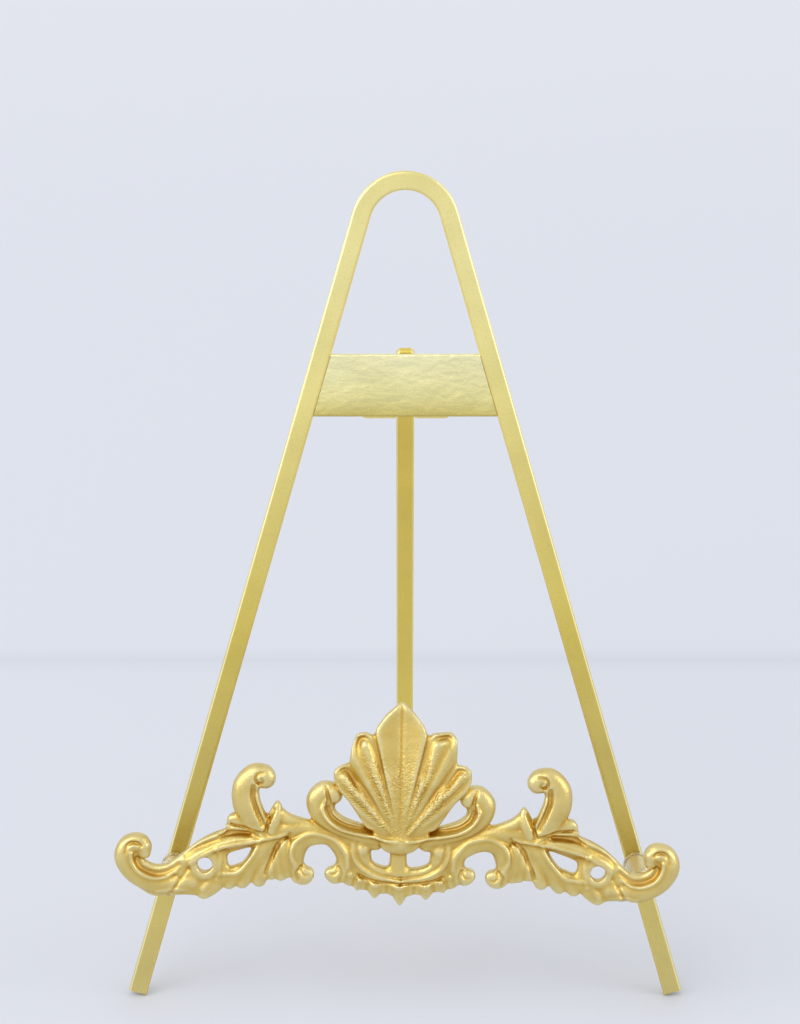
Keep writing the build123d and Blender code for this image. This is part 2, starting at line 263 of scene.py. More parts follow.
ALMOND_BLADE = [(40.4, 8.0, 1.8), (43.8, 4.2, 2.8), (47.0, -0.2, 2.5), (50.6, -3.0, 2.1),
                (54.2, -3.9, 2.1), (55.6, -3.6, 2.0)]
ALMOND_END = [(58.6, 5.0, 2.4), (57.8, 1.2, 2.3), (57.4, -2.4, 2.5), (56.4, -5.0, 2.4)]
STEM = [(-0.9, 8.0, 3.0), (-0.9, 2.0, 2.7), (-0.9, -4.0, 3.2)]
BLADE_LIFT = (0.0, 0.6, 0.6, 0.3, 0.0, 0.0, 0.4, 0.4)
LEAF_BLADES = [
    [(38.2, 8.6, 1.8), (36.4, 4.6, 2.8), (35.6, 0.0, 2.8), (35.4, -3.0, 2.2)],
    [(38.6, 5.6, 1.8), (38.6, 1.0, 2.4), (37.6, -3.6, 2.0)],
    [(40.8, 4.0, 1.8), (41.0, -0.6, 2.4), (40.6, -3.2, 2.0)],
    [(42.6, 3.0, 2.0), (43.4, -1.8, 2.6), (44.7, -5.4, 2.3)],
    [(46.4, -0.8, 2.2), (48.4, -3.8, 2.5), (50.2, -6.3, 2.3)],
    [(51.2, -3.0, 2.1), (53.2, -5.4, 2.4), (54.6, -7.1, 2.1)],
    [(57.0, -4.4, 2.2), (59.2, -7.2, 2.7), (62.4, -9.7, 2.5)],
    [(62.6, -5.0, 2.2), (64.4, -7.6, 2.3), (65.6, -8.8, 1.9)],
]
RING_BOSS = (12.4, 4.8, 2.6)
RING_ROPE = [(15.2, 6.4, 0.6), (14.9, 2.6, 0.8), (12.8, -0.8, 0.8), (8.2, -3.5, 0.8), (3.4, -4.5, 0.8),
             (0, -4.7, 0.8)]
HOLLOW = [(57.2, 8.4, 0.4), (53.6, 9.6, 1.0), (49.4, 9.9, 1.0), (45.4, 9.2, 0.5)]


def scrollwork(relief):
    """Both wings and the ring below the shell, built up from the ends towards the middle."""
    relief.rib(WING_BAND, rise=0.6, base=2.0, blend=0.7)
    relief.rib(WING_FILL, rise=0.5, base=2.4, blend=1.2)
    relief.rib(WING_LOW, rise=0.6, base=1.5, blend=0.7, lift=0.4)
    relief.rib(OUTER_TUBE, rise=0.9, base=1.6)
    relief.rib(OUTER_CURL, rise=1.1, base=2.0, blend=0.3)
    relief.rib(VOLUTE_EYE, rise=0.6, base=2.8, blend=0.4)
    relief.ball(HOLE[0], HOLE[1], HOLE_RADIUS + 2.0, rise=0.5, base=2.0)
    relief.rib(ALMOND_END, rise=0.6, base=2.0, blend=1.4)
    relief.rib(ALMOND_TOP, rise=0.5, base=1.6, blend=1.4)
    for blade, lift in zip(LEAF_BLADES, BLADE_LIFT):
        relief.rib(blade, rise=0.75, base=1.6, blend=0.7, lift=lift)
    relief.rib(ALMOND_BLADE, rise=0.7, base=2.0, blend=1.2)
    relief.rib(TOP_BAND, rise=0.7, base=2.0, blend=0.5)
    relief.rib(LEAF_SWEEP, rise=0.8, base=1.8, blend=0.4)
    relief.rib(VOLUTE_VALLEY, rise=0.6, base=1.6, blend=0.8)
    relief.rib(TUBE_VALLEY, rise=0.6, base=1.6, blend=0.8)
    relief.rib(TALL_LEAF, rise=0.9, base=2.2, blend=0.4, lift=-0.2)
    relief.rib(UPPER_TUBE, rise=0.85, base=1.8, blend=0.4)
    relief.rib(SMALL_LEAF_LOW, rise=0.8, base=2.2, blend=0.6)
    relief.rib(SMALL_LEAF_HIGH, rise=0.8, base=2.4, blend=0.5)
    relief.ball(*UPPER_BULB, rise=0.8, base=2.2, blend=0.5)
    for side, path in C_SCROLL.items():
        relief.rib(path, rise=0.8, base=1.8, blend=0.5, sides=(side,))
    relief.rib(C_FOOT_OUT, rise=0.65, base=2.1, blend=0.7, lift=0.4)
    relief.rib(C_FOOT_IN, rise=0.65, base=2.1, blend=0.7, lift=0.4)
    relief.rib(SIDE_VOLUTE, rise=0.9, base=2.0, blend=0.5)
    relief.ball(*SIDE_BULB, rise=0.8, base=2.6, blend=0.5)
    relief.rib(VOLUTE_FILL, rise=0.6, base=2.0, blend=1.0)
    relief.rib(RING_FILL, rise=0.5, base=2.0, blend=0.8)
    relief.rib(RING_LOW, rise=0.5, base=1.6, blend=0.6)
    relief.rib(CENTRE_RING, rise=0.6, base=2.0, blend=1.3)
    relief.ball(*RING_BOSS, rise=0.8, base=2.4, blend=0.5)
    for petal in PETALS:
        relief.rib(petal, rise=0.7, base=1.6, blend=0.3)
    relief.rib(POINT_PETAL, rise=0.7, base=1.6, blend=0.3, sides=(1,))
    for u0, v0, radius in PETAL_CORES:
        relief.ball(u0, v0, radius, rise=1.0, base=3.0, blend=0.5)
    relief.ball(-0.6, -6.9, 1.3, rise=1.0, base=3.1, blend=0.5, sides=(1,))
    relief.rib(STEM, rise=0.7, base=2.0, blend=1.6, sides=(1,))


def fine_lines(relief):
    """Creases, channels and sharp ridges over the scrollwork."""
    # outer volute: sharp inner edge of the tube with a channel above it
    relief.line([(83.9, 2.6, 0.8), (83.6, 0.0, 1), (82.0, -2.8, 1), (79.3, -4.5, 1), (76.4, -5.2, 1),
                 (73.0, -4.6, 1), (70.6, -3.2, 0.8)], 0.9, 0.7)
    relief.line([(82.2, 2.2, 0.8), (82.0, 0.0, 1), (80.6, -2.2, 1), (78.2, -3.4, 1), (75.6, -3.8, 1),
                 (72.6, -3.0, 1), (69.6, -0.8, 0.8)], -0.9, 0.8)
    relief.line([(80.9, 5.0, 0.5), (82.2, 5.9, 1), (84.0, 5.9, 1), (85.3, 4.8, 0.7),
                 (85.8, 2.8, 0.4)], -1.1, 0.6)
    # top band: channel along its crest and a sharp lower ridge
    relief.line([(67.4, 1.8, 0.6), (63.6, 4.6, 1), (59.0, 6.9, 1), (53.6, 8.6, 1),
                 (48.5, 9.4, 0.8)], -1.3, 0.95)
    relief.line([(66.4, -0.6, 0.8), (61.8, 2.6, 1), (57.4, 4.7, 1), (52.6, 6.0, 1), (46.6, 7.2, 1),
                 (41, 8.2, 1), (35.6, 9.2, 0.8)], 0.8, 0.65)
    # leaf: midrib groove, almond's ridge and the cross crease of the wing
    relief.line([(34.8, 9.6, 0.7), (38.0, 6.6, 1), (39.8, 3.2, 1), (41.6, -0.8, 1),
                 (42.6, -3.4, 0.6)], -1.0, 0.7)
    relief.line([(44.6, 7.0, 0.6), (46.6, 3.0, 1), (48.8, 0.0, 1), (51.6, -3.0, 1), (54.8, -3.6, 1),
                 (57.6, -3.9, 0.7)], 0.8, 0.65)
    relief.line([(58.6, 4.6, 0.6), (57.6, 1.4, 1), (57.9, -2.2, 1), (58.6, -5.6, 0.8)], 0.8, 0.7)
    relief.line([(66.8, -2.2, 0.8), (68.6, -4.6, 1), (70.8, -8.4, 1), (73.2, -11.4, 1)], -0.7, 0.6)
    relief.line([(66.6, -9.4, 0.6), (71.6, -9.2, 1), (75.8, -9.8, 0.8)], 0.5, 0.7)
    relief.line([(60.2, -5.6, 0.7), (62.6, -8.8, 1)], 0.6, 0.9)
    # upper volute: fold along the inner side, wrapping the bulb
    relief.line([(43.2, 29.6, 0.4), (45.2, 29.2, 0.9), (46.0, 27.6, 1), (45.0, 26.2, 1), (43.8, 26.6, 0.9),
                 (44.0, 27.8, 0.5)], -0.9, 0.5)
    relief.line([(46.8, 25.4, 0.8), (46.8, 21.6, 1), (45.4, 17.4, 1), (43.4, 12.8, 0.8)], -0.9, 0.75)
    relief.line([(45.2, 24.8, 0.6), (45.2, 20.8, 1), (43.6, 16.6, 1), (41.8, 12.6, 0.8)], 0.5, 0.7)
    relief.line([(53.8, 12.3, 0.7), (50.0, 12.0, 1), (45.6, 10.6, 1), (42.4, 9.6, 0.7)], -0.9, 0.6)
    relief.line([(39.8, 17.4, 0.8), (41.6, 13.6, 1), (42.6, 10.6, 0.8)], -0.8, 0.6)
    # side volute: sharp lower crest, shaded shelf above it
    relief.line([(2.0, 8.6, 0.5), (5.2, 8.8, 0.9), (8.2, 9.5, 1), (12.8, 10.2, 1), (18.6, 11.6, 1),
                 (22.6, 14.2, 1), (24.6, 17.6, 1), (24.0, 20.4, 0.7)], 1.0, 0.7)
    relief.line([(9.0, 11.2, 0.6), (14.0, 11.8, 1), (18.6, 13.2, 1), (21.8, 15.6, 1),
                 (23.0, 18.4, 0.7)], -1.1, 0.7)
    relief.line([(23.8, 24.8, 0.8), (23.2, 22.8, 1), (22.6, 21.0, 0.7)], -0.8, 0.6)
    # C-scroll: crest on the outside of the arch and creases at its bulbs
    relief.line([(32.6, -1.4, 0.6), (34.4, 2.4, 1), (33.6, 6.4, 1), (30.0, 9.2, 1), (25.6, 9.6, 1),
                 (20.6, 7.8, 1), (17.2, 3.4, 1), (16.6, -0.6, 0.7)], 0.7, 0.7)
    relief.line([(31.2, -1.2, 0.9), (32.6, -3.0, 1), (32.2, -5.2, 0.7)], -0.8, 0.6)
    relief.line([(19.4, -1.0, 0.9), (18.6, -3.0, 1), (19.2, -5.4, 0.7)], -0.8, 0.6)
    # centre: ring's rope edge, with a channel on each side of it
    relief.line(RING_ROPE, 0.8, 0.55)
    relief.line([(u * 0.91, v + 0.9, weight) for u, v, weight in RING_ROPE], -0.7, 0.5)
    relief.line([(13.6, -3.2, 0.6), (10.4, -4.6, 1), (6.0, -5.6, 1), (0, -5.9, 1)], -0.7, 0.5)
    # petals: valleys between them
    relief.line([(10.4, -6.6, 1), (11.0, -8.8, 0.8)], -0.8, 0.6)
    relief.line([(4.4, -7.4, 1), (4.2, -10.2, 0.8)], -0.8, 0.6)
    relief.line([(14.6, -4.8, 1), (15.0, -7.0, 0.8)], -0.7, 0.6)
    relief.line(HOLLOW, -1.7, 0.9)
    # eyes of the two knobs that curl round at the ends of the C-scroll
    relief.line([(30.8, -1.6, 0.5), (30.9, -3.0, 1), (30.0, -4.0, 1), (28.8, -3.8, 0.5)], -0.6, 0.45)
    relief.line([(20.0, -1.2, 0.5), (20.0, -2.6, 1), (20.9, -3.4, 1), (22.0, -3.2, 0.5)], -0.6, 0.45)


# ---------------------------------------------------------------- fluted shell
SHELL_BOX = np.array([(-24.0, -1.0), (24.0, 54.0)])     # corners of the stretch of grid it needs
SHELL_ROOT = (0.0, 4.0)
CENTRE_LOBE = [(-7.6, 36.0), (-9.3, 41.0), (-8.3, 44.8), (-5.2, 48.8), (-0.5, 52.9),
               (3.6, 49.0), (6.6, 45.2), (8.0, 41.4), (7.4, 36.0)]
SIDE_LOBES = {
    -1: [[(6.0, 34.0), (9.2, 41.6), (11.8, 43.2), (14.6, 42.3), (15.9, 38.8), (16.6, 35.2),
          (16.8, 32.9), (13.0, 26.0)],
         [(13.0, 27.0), (16.6, 32.7), (19.4, 32.5), (21.7, 30.6), (21.6, 28.0), (20.1, 24.8),
          (16.8, 21.2), (11.8, 13.4), (7.0, 8.0)]],
    1: [[(6.0, 34.0), (7.6, 41.0), (9.6, 43.0), (15.0, 43.3), (17.0, 41.4), (17.2, 37.5),
         (17.0, 33.4), (13.0, 26.0)],
        [(13.0, 27.0), (17.0, 32.8), (20.0, 32.8), (21.9, 30.8), (21.8, 27.6), (20.0, 24.2),
         (16.6, 20.8), (11.8, 13.4), (7.0, 8.0)]]}
FAN = (-0.5, 8.0)             # the lobes' creases spread out from here
RIM_ANGLES = (0.0, 14.0, 34.5, 58.0)
BOWL = (-0.6, 7.6)            # rounded foot of the shell
BOWL_WIDE = 6.4
BOWL_HIGH = 3.7
# Cross-section of half the centre lobe and of a side lobe, as (share of its angle, height).
CENTRE_FACE = ((0.0, -1.7), (0.05, -1.05), (0.12, -0.8), (0.5, -0.3), (0.85, 0.3), (0.94, 0.1),
               (1.0, -1.1))
SIDE_FACE = ((0.0, -1.1), (0.06, -0.4), (0.2, 0.5), (0.34, 0.2), (0.5, -0.6), (0.62, -0.35), (0.67, 0.0),
             (0.73, -0.2), (0.88, -0.8), (1.0, -1.6))
LAST_FACE = -1.3             # beyond the last groove, and its fall per degree
LAST_SLOPE = 0.05
CUPS = {RIM_ANGLES[1]: (0.34, 0.21),      # scooped tip of each side lobe, by the lobe's first angle:
        RIM_ANGLES[2]: (0.14, 0.16)}      # its place across the lobe and its width
CUP_DEPTH = 2.2
CUP_FROM_RIM = 1.4
CUP_LONG = 0.9
CUP_REACH = (20, 4)           # scoops come in from this far out, over this length
RIDGE_AT = 0.35               # stippled ridge across each side lobe
RIDGE_WIDE = 0.25
CENTRE_STIPPLE = 0.5
STIPPLE_END = (34, 14)        # stipple fades towards the tips: end, and length of the fade
GRAIN_HEIGHT = 0.12
CORNER_SOFTNESS = 8           # rounds of averaging over the outline
LOBE_HEIGHT = 5.6
LOBE_CROWN = 0.9              # extra height halfway along
CROWN_REACH = 38.0
LEAN_FROM = 22
TIP_LEAN = 0.085
FLUTE_GROWTH = 18.0           # the flutes deepen over this length
RIM_DROP = 0.5
FOOT_HEIGHT = 6.6
FOOT_ROUND = 2.2
SKIN = 2.6                    # the shell is hollow behind
HOLLOW_FROM = (12, 8)         # the hollow comes in from here, over this length


def smooth_table(x, table):
    """A table's value, softened by averaging over a short stretch."""
    keys, values = zip(*table)
    stretch = 0.035 * (keys[-1] - keys[0])
    return sum(np.interp(x + shift * stretch, keys, values) for shift in (-1, -0.5, 0, 0.5, 1)) / 5


def blurred(values, rounds):
    """Soften a height map by repeated averaging with its neighbours."""
    for _ in range(rounds):
        padded = np.pad(values, 1, mode="edge")
        values = (2 * values + padded[:-2, 1:-1] + padded[2:, 1:-1] + padded[1:-1, :-2]
                  + padded[1:-1, 2:]) / 6
    return values


def shell_outline(u, v, bowl):
    """Signed distance to the shell's outline, with its corners softened."""
    outline = polygon_distance([SHELL_ROOT] + CENTRE_LOBE, u, v)
    for side, lobes in SIDE_LOBES.items():
        for lobe in lobes:
            shape = [(side * x, y) for x, y in [SHELL_ROOT] + lobe]
            outline = np.minimum(outline, polygon_distance(shape, u, v))
    return blurred(smooth_min(outline, (bowl - 1) * BOWL_HIGH, 1.0), CORNER_SOFTNESS)


def lobe_faces(angle, reach, depth):
    """Height across the lobes, how far each place is on a ridge, and how far in a scooped tip."""
    face = np.zeros(angle.shape)
    cups = np.zeros(angle.shape)
    ridge = np.zeros(angle.shape)
    near_tip = ((depth - CUP_FROM_RIM) / CUP_LONG) ** 2
    far_out = np.clip((reach - CUP_REACH[0]) / CUP_REACH[1], 0, 1)
    for start, end in zip(RIM_ANGLES, RIM_ANGLES[1:]):
        t = (angle - start) / (end - start)
        inside = (t >= 0) & (t <= 1)
        face = np.where(inside, smooth_table(t, CENTRE_FACE if start == 0 else SIDE_FACE), face)
        ridge = np.where(inside, np.exp(-((t - RIDGE_AT) / RIDGE_WIDE) ** 2), ridge)
        if start in CUPS:
            cup_at, cup_wide = CUPS[start]
            cup = np.exp(-near_tip - ((t - cup_at) / cup_wide) ** 2) * far_out
            cups = np.where(inside, cup, cups)
    past = angle - RIM_ANGLES[-1]
    face = np.where(past > 0, LAST_FACE - past * LAST_SLOPE, face)
    return face, ridge, cups


def shell(relief):
    """Fluted shell with scooped tips, a stippled face and a hollow back."""
    place, u, v = relief.window(SHELL_BOX, 1.0)
    bowl = np.hypot((u - BOWL[0]) / BOWL_WIDE, (v - BOWL[1]) / BOWL_HIGH)
    outline = shell_outline(u, v, bowl)
    depth = np.maximum(-outline, 0)
    angle = np.degrees(np.arctan2(np.abs(u - FAN[0]), v - FAN[1]))
    reach = np.hypot(u - FAN[0], v - FAN[1])
    face, ridge, cups = lobe_faces(angle, reach, depth)
    spread = np.clip((reach - 1.0) / FLUTE_GROWTH, 0.12, 1.1)
    grain = blurred(rng.normal(size=u.shape), 1)
    fading = np.clip((STIPPLE_END[0] - reach) / STIPPLE_END[1], 0.15, 1)
    patch = np.where(angle < RIM_ANGLES[1], CENTRE_STIPPLE, ridge) * fading
    crown = LOBE_CROWN * np.sin(np.clip(reach / CROWN_REACH, 0, 1) * math.pi)
    lean = TIP_LEAN * np.maximum(reach - LEAN_FROM, 0)
    height = LOBE_HEIGHT + crown - lean + face * spread - CUP_DEPTH * cups
    height = blurred(height, 2) - RIM_DROP * np.exp(-depth / RIM_DROP) + GRAIN_HEIGHT * grain * patch
    height = smooth_max(height, FOOT_HEIGHT - FOOT_ROUND * bowl ** 2, 0.8)
    solid = smooth_max(outline[..., None] + 0 * W_AXIS, (W_AXIS - height[..., None]) * 0.8, 0.5)
    hollow = (height - SKIN) * np.clip((reach - HOLLOW_FROM[0]) / HOLLOW_FROM[1], 0, 1)
    solid = np.maximum(solid, hollow[..., None] - W_AXIS)
    relief.add(place, solid, 0.4)
    relief.stipple[place] = np.maximum(relief.stipple[place], np.where(outline < 0, patch, 0))


# ---------------------------------------------------------------- surface from a field
def surface_net(field):
    """Naive surface nets: points in cell units and quads."""
    inside = field < 0
    corners = [(i, j, k) for i in (0, 1) for j in (0, 1) for k in (0, 1)]
    n = np.array(field.shape) - 1

    def corner(array, c):
        return array[c[0]:c[0] + n[0], c[1]:c[1] + n[1], c[2]:c[2] + n[2]]

    count_in = sum(corner(inside, c).astype(np.int8) for c in corners)
    active = (count_in > 0) & (count_in < 8)
    cells = np.argwhere(active)
    index = np.full(active.shape, -1, np.int64)
    index[active] = np.arange(len(cells))
    total = np.zeros((len(cells), 3))
    hits = np.zeros(len(cells))
    for a in corners:
        for axis in range(3):
            if a[axis]:
                continue
            b = list(a)
            b[axis] = 1
            fa = field[tuple((cells + a).T)]
            fb = field[tuple((cells + b).T)]
            cross = (fa < 0) != (fb < 0)
            t = np.where(cross, fa / np.where(cross, fa - fb, 1), 0)
            point = np.array(a, float) + t[:, None] * np.eye(3)[axis]
            total += np.where(cross[:, None], point, 0)
            hits += cross
    points = cells + total / hits[:, None]
    quads = []
    for axis in range(3):
        one, two = [(1, 2), (2, 0), (0, 1)][axis]
        low = [slice(1, n[d]) for d in range(3)]
        low[axis] = slice(0, n[axis])
        high = list(low)
        high[axis] = slice(1, n[axis] + 1)
        first = inside[tuple(low)]
        second = inside[tuple(high)]
        base = np.array([1, 1, 1])
        base[axis] = 0
        for flip in (False, True):
            edges = np.argwhere(first & ~second if not flip else ~first & second) + base
            e1, e2 = np.eye(3, dtype=int)[one], np.eye(3, dtype=int)[two]
            ring = [edges, edges - e1, edges - e1 - e2, edges - e2]
            quad = np.stack([index[tuple(p.T)] for p in ring], 1)
            quads.append(quad if not flip else quad[:, ::-1])
    return points, np.vstack(quads)


def casting():
    """The pierced scroll-and-shell lip as one mesh, with its stipple stored at each point."""
    relief = Relief()
    scrollwork(relief)
    shell(relief)
    fine_lines(relief)
    fade = np.clip((W_AXIS - DETAIL_FROM) / DETAIL_FADE, 0, 1)
    field = relief.field - relief.detail[..., None] * fade
    u, v = np.meshgrid(U_AXIS, V_AXIS, indexing="ij")
    for side in (1, -1):
        hole = on_wing([HOLE], side)[0]
        d = np.hypot(u - hole[0], v - hole[1])
        above = np.maximum(W_AXIS - HOLE_RIM_TOP, 0)
        rim = np.sqrt((d[..., None] - HOLE_RADIUS - HOLE_RIM) ** 2 + above ** 2) - HOLE_RIM
        field = smooth_min(field, rim, HOLE_RIM)
        field = smooth_max(field, (HOLE_RADIUS - d)[..., None] + 0 * W_AXIS, 0.5)
    field = np.maximum(field, -W_AXIS)
    points, quads = surface_net(field)
    origin = np.array([U_AXIS[0], V_AXIS[0], W_AXIS[0]])
    uvw = origin + points * CELL
    cos, sin = math.cos(CAST_ROLL), math.sin(CAST_ROLL)
    across = uvw[:, 0] * cos + uvw[:, 1] * sin
    up = -uvw[:, 0] * sin + uvw[:, 1] * cos
    centre = LIP_BACK - UP * CAST_DROP * MM
    world = centre + MM * (across[:, None] * ACROSS + up[:, None] * UP + uvw[:, 2][:, None] * FORWARD)
    obj = mesh_object("ornament_relief", world, quads)
    cells = np.clip(points[:, :2].round().astype(int), 0, np.array(relief.shape[:2]) - 1)
    amount = blurred(relief.stipple, 3)[cells[:, 0], cells[:, 1]]
    layer = obj.data.attributes.new("stipple", "FLOAT", "POINT")
    layer.data.foreach_set("value", amount.astype(np.float32))
    return obj


# ---------------------------------------------------------------- sleeves and welds
ARM_UP = 45.0             # the ledge arms' height along the frame
ARM_OUT = 24.0            # from the leg's face to the casting's back
ARM_RADIUS = 2.5
SLEEVE_RADIUS = 4.2
SLEEVE_BORE = 2.6
SLEEVE_FROM = 0.8
SLEEVE_TO = 22.9
BAR_THICK = 3.0
HALF_BAR = 3.0
APEX = 303.0              # height at which the legs' centre lines would cross
SPLAY = math.radians(16.2)
PLATE_ENDS = (193.0, 209.6)
FLANGE_EDGE = 14.4
FLANGE_ENDS = (193.6, 203.4)
LEG_SPREAD = math.radians(20)
KNUCKLE_SEAM = (1.5, 2.0)     # weld's distance from the hinge pin, along the rear leg and behind it
WELD_PITCH = 1.3
WELD_WANDER = 0.12
WELD_RIPPLE = 0.13
WELD_NOISE = 0.05
RING_RIPPLE = (0.16, 11)      # share of the bead's radius, and how many times round
RING_SWELL = (0.08, 3)
PLATE_BEAD = 1.0
BRACKET_BEAD = 0.75
KNUCKLE_BEAD = 0.55
HALF_KNUCKLE = 2.4
ARM_BEAD = 0.6
ARM_BEAD_GAP = 0.35       # from the arm's skin to the middle of the bead round it


def half_span(up):
    return (APEX - up) * math.tan(SPLAY)


def tube_along(name, path, radii, ring=14, closed=False):
    """Round skin along a path, with a radius at each of its points."""
    path = np.asarray(path, float)
    forward = np.gradient(path, axis=0)
    if closed:
        forward = np.roll(path, -1, axis=0) - np.roll(path, 1, axis=0)
    forward /= np.linalg.norm(forward, axis=1)[:, None]
    guide = FORWARD if abs(forward[0] @ FORWARD) < 0.8 else ACROSS
    first = np.cross(forward, guide)
    first /= np.linalg.norm(first, axis=1)[:, None]
    second = np.cross(forward, first)
    turn = np.arange(ring) * 2 * math.pi / ring
    rings = (np.cos(turn)[None, :, None] * first[:, None] + np.sin(turn)[None, :, None] * second[:, None])
    points = path[:, None] + rings * np.asarray(radii)[:, None, None]
    count = len(path)
    faces = []
    for i in range(count if closed else count - 1):
        for j in range(ring):
            k, n = (j + 1) % ring, (i + 1) % count
            faces.append((i * ring + j, i * ring + k, n * ring + k, n * ring + j))
    points = points.reshape(-1, 3).tolist()
    if not closed:
        for end, row in ((path[0], 0), (path[-1], count - 1)):
            points.append(end.tolist())
            for j in range(ring):
                pair = (row * ring + j, row * ring + (j + 1) % ring)
                faces.append((len(points) - 1, *(pair if row else pair[::-1])))
    return mesh_object(name, points, faces)


def weld(name, start, end, radius):
    """Straight bead with the ripples that the torch leaves."""
    length = np.linalg.norm(end - start) / MM
    count = int(length * 5)
    t = np.linspace(0, 1, count)
    wander = blurred(rng.normal(size=(count, 3)), 4) * WELD_WANDER * MM
    ripple = 1 + WELD_RIPPLE * np.sin(t * length / WELD_PITCH * 2 * math.pi)
    ripple = ripple + WELD_NOISE * rng.normal(size=count)
    taper = np.sqrt(np.clip(np.minimum(t, 1 - t) * length / radius, 0.02, 1))
    return tube_along(name, start + t[:, None] * (end - start) + wander, radius * MM * ripple * taper)


def ring_weld(name, centre, radius, bead):
    """Bead all round a ledge arm's end."""
    turn = np.linspace(0, 2 * math.pi, 60, endpoint=False)
    path = centre + MM * radius * (np.cos(turn)[:, None] * ACROSS + np.sin(turn)[:, None] * UP)
    swell = RING_SWELL[0] * np.sin(turn * RING_SWELL[1] + rng.uniform(0, 6))
    ripple = 1 + RING_RIPPLE[0] * np.sin(turn * RING_RIPPLE[1]) + swell
    return tube_along(name, path, bead * MM * ripple, closed=True)


def sleeve(name, side):
    """Clear tube with rounded ends, slightly uneven where it was pushed on."""
    profile = [(SLEEVE_BORE, 0.5), (SLEEVE_BORE + 0.3, 0.12), (3.3, 0.0), (SLEEVE_RADIUS - 0.45, 0.08),
               (SLEEVE_RADIUS - 0.08, 0.5)]
    length = SLEEVE_TO - SLEEVE_FROM
    outside = [(SLEEVE_RADIUS + 0.03 * math.sin(z * 1.1), z) for z in np.linspace(1.4, length - 1.4, 9)]
    far = [(r, length - z) for r, z in reversed(profile)]
    inside = [(SLEEVE_BORE, z) for z in np.linspace(length - 3, 3, 4)]
    loop = profile + outside + far + inside
    ring = 40
    turn = np.arange(ring) * 2 * math.pi / ring
    centre = frame_point(side * half_span(ARM_UP), ARM_UP, SLEEVE_FROM)
    points = [centre + MM * (z * FORWARD + r * (math.cos(a) * ACROSS + math.sin(a) * UP))
              for r, z in loop for a in turn]
    count = len(loop)
    faces = [(i * ring + j, i * ring + (j + 1) % ring, (i + 1) % count * ring + (j + 1) % ring,
              (i + 1) % count * ring + j) for i in range(count) for j in range(ring)]
    return mesh_object(name, points, faces)


def add_piece(piece, body, material):
    piece.data.materials.append(material)
    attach(piece, body)


def sleeves_and_welds(clear, brown_bands, bead_gold):
    """Clear tubes and rings of weld on the arms, and weld beads at the plate, brackets and knuckle."""
    for side, hand in ((-1, "left"), (1, "right")):
        tube = sleeve(f"clear_sleeve_{hand}", side)
        add_piece(tube, "stand", clear)
        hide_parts(f"arm_sleeve_{hand}")
        x = side * half_span(ARM_UP)
        for place, out in (("leg", 0.45), ("casting", ARM_OUT - 0.5)):
            middle = frame_point(x, ARM_UP, out)
            ring = ring_weld(f"arm_weld_{place}_{hand}", middle, ARM_RADIUS + ARM_BEAD_GAP, ARM_BEAD)
            add_piece(ring, "stand", brown_bands)
        inner = HALF_BAR / math.cos(SPLAY)
        ends = [frame_point(side * (half_span(up) - inner), up, -BAR_THICK) for up in PLATE_ENDS]
        bead = weld(f"plate_weld_{hand}", *ends, PLATE_BEAD)
        add_piece(bead, "stand", bead_gold)
        ends = [frame_point(side * FLANGE_EDGE, up, -BAR_THICK - 0.25) for up in FLANGE_ENDS]
        bead = weld(f"bracket_weld_{hand}", *ends, BRACKET_BEAD)
        add_piece(bead, "stand", bead_gold)
    pin = np.array(frame["record"]["behaviour"]["joints"][0]["pos_m"])
    down = np.array([0, math.sin(LEG_SPREAD), -math.cos(LEG_SPREAD)])
    behind = np.array([0, math.cos(LEG_SPREAD), math.sin(LEG_SPREAD)])
    for name, way in (("knuckle_weld_low", 1), ("knuckle_weld_high", -1)):
        middle = pin + MM * (KNUCKLE_SEAM[0] * way * down + KNUCKLE_SEAM[1] * behind)
        half = HALF_KNUCKLE * MM * ACROSS
        bead = weld(name, middle - half, middle + half, KNUCKLE_BEAD)
        add_piece(bead, "leg", bead_gold)


# ---------------------------------------------------------------- materials
def new_material(name):
    material = bpy.data.materials.new(name)
    material.use_nodes = True
    nodes = material.node_tree.nodes
    return nodes["Principled BSDF"], nodes, material.node_tree.links, material


def mix(nodes, links, kind, factor, one, two):
    """Colour mix node of two sockets or colours."""
    node = nodes.new("ShaderNodeMix")
    node.data_type = "RGBA"
    node.blend_type = kind
    for socket, value in (("Factor", factor), ("A", one), ("B", two)):
        place = next(i for i in node.inputs if i.name == socket and i.enabled)
        if isinstance(value, bpy.types.NodeSocket):
            links.new(value, place)
        else:
            place.default_value = (*value, 1) if isinstance(value, tuple) else value
    return next(o for o in node.outputs if o.enabled)


def noise(nodes, links, scale, detail=4, stretch=None):
    """Noise value over the object's own coordinates; the scale is in features per metre."""
    coords = nodes.new("ShaderNodeTexCoord").outputs["Object"]
    if stretch:
        mapping = nodes.new("ShaderNodeMapping")
        mapping.inputs["Scale"].default_value = stretch
        links.new(coords, mapping.inputs["Vector"])
        coords = mapping.outputs["Vector"]
    node = nodes.new("ShaderNodeTexNoise")
    node.inputs["Scale"].default_value = scale
    node.inputs["Detail"].default_value = detail
    links.new(coords, node.inputs["Vector"])
    return node.outputs["Fac"]


def span(nodes, links, value, low, high, to_low, to_high):
    """Carry a value from one range into another, held at its ends."""
    node = nodes.new("ShaderNodeMapRange")
    links.new(value, node.inputs["Value"])
    for name, number in (("From Min", low), ("From Max", high), ("To Min", to_low), ("To Max", to_high)):
        node.inputs[name].default_value = number
    return node.outputs["Result"]


